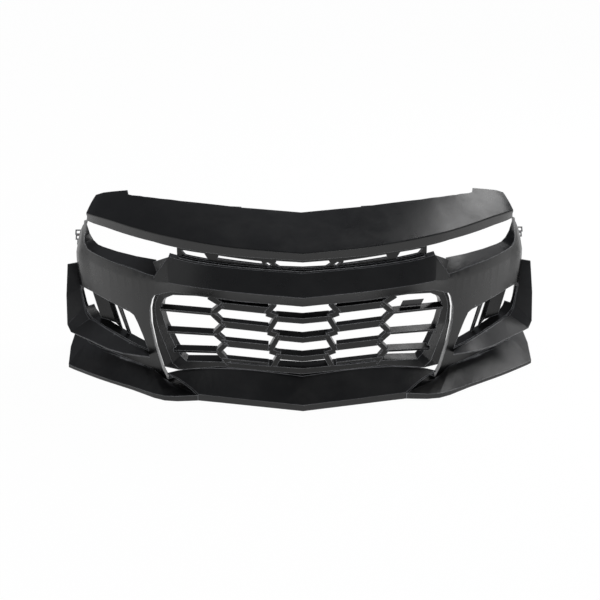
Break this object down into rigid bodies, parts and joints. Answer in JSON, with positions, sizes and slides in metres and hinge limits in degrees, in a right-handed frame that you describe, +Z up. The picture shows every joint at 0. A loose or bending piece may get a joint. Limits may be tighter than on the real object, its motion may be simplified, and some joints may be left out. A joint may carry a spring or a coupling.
{
  "type": "bumper cover",
  "caption": "Front bumper cover for a low coupe: moulded skin with brow, lamp and duct openings, lattice grille, chin lip with side wings and canards.",
  "frame": {"origin": "on the centre plane, half way along the depth, level with the underside of the chin lip", "axes": "+X toward the car's left side, -Y toward the front of the car, +Z up"},
  "size_m": [1.904, 0.7052, 0.7304],
  "materials": {
    "skin": "satin moulded black polypropylene",
    "grille": "fine-grained black",
    "lip": "grained black with a light dust film",
    "canard": "satin black",
    "badge": "smooth dark grey",
    "bracket": "plain light grey nylon",
    "retainer": "smooth black nylon",
    "dark_steel": "black zinc",
    "steel": "bright zinc"
  },
  "bodies": {
    "cover": {"bumper_skin": "skin", "lower_grille": "grille", "upper_grille": "grille", "centre_lip": "lip", "badge_plate": "badge", "badge_nuts": "steel", "splitter_wing_left": "lip", "splitter_wing_right": "lip", "canard_left": "canard", "canard_right": "canard", "duct_bezel_left": "grille", "duct_bezel_right": "grille", "fender_bracket_left": "bracket", "fender_bracket_right": "bracket", "bracket_screws_left": "dark_steel", "bracket_screws_right": "dark_steel", "lip_screws": "dark_steel", "lip_nuts": "steel", "wing_screws_left": "dark_steel", "wing_screws_right": "dark_steel", "wing_nuts_left": "steel", "wing_nuts_right": "steel", "upper_grille_screws": "dark_steel", "lower_grille_screws": "dark_steel", "canard_screws_left": "dark_steel", "canard_screws_right": "dark_steel", "duct_screws_left": "dark_steel", "duct_screws_right": "dark_steel", "retainer_bodies": "retainer"},
    "pin_1": {"retainer_pin_1": "retainer"},
    "pin_2": {"retainer_pin_2": "retainer"},
    "pin_3": {"retainer_pin_3": "retainer"},
    "pin_4": {"retainer_pin_4": "retainer"}
  },
  "joints": [
    {"name": "pin_pull_1", "type": "slide", "parent": "cover", "child": "pin_1", "axis": [0, 0, -1], "range_m": [0, 0.006]},
    {"name": "pin_pull_2", "type": "slide", "parent": "cover", "child": "pin_2", "axis": [0, 0, -1], "range_m": [0, 0.006]},
    {"name": "pin_pull_3", "type": "slide", "parent": "cover", "child": "pin_3", "axis": [0, 0, -1], "range_m": [0, 0.006]},
    {"name": "pin_pull_4", "type": "slide", "parent": "cover", "child": "pin_4", "axis": [0, 0, -1], "range_m": [0, 0.006]}
  ]
}
